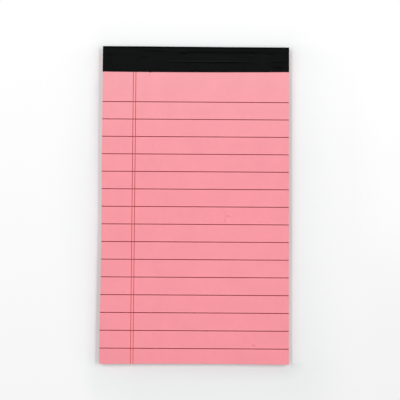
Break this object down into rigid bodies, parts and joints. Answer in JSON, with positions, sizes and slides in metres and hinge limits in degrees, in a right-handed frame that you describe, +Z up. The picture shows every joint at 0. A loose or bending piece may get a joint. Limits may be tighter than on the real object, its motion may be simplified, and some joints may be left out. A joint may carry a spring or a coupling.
{
  "type": "memo pad",
  "caption": "Small ruled memo pad: pink sheets with a double margin on a chipboard back, bound by a black tape folded over the head edge.",
  "frame": {"origin": "under the middle of the pad, on the surface that it lies on", "axes": "+Y along the pad towards the bound head, +Z up out of the top sheet, +X across to the right of the page"},
  "size_m": [0.075, 0.127, 0.0062],
  "materials": {
    "sheets": "matte",
    "board": "matte",
    "tape": "satin",
    "glue": "satin",
    "rule_ink": "matte",
    "margin_ink": "matte"
  },
  "bodies": {
    "root": {"page_block": "sheets", "backing_board": "board", "binding_tape": "tape", "head_glue": "glue", "ruled_lines": "rule_ink", "margin_lines": "margin_ink"}
  },
  "joints": []
}
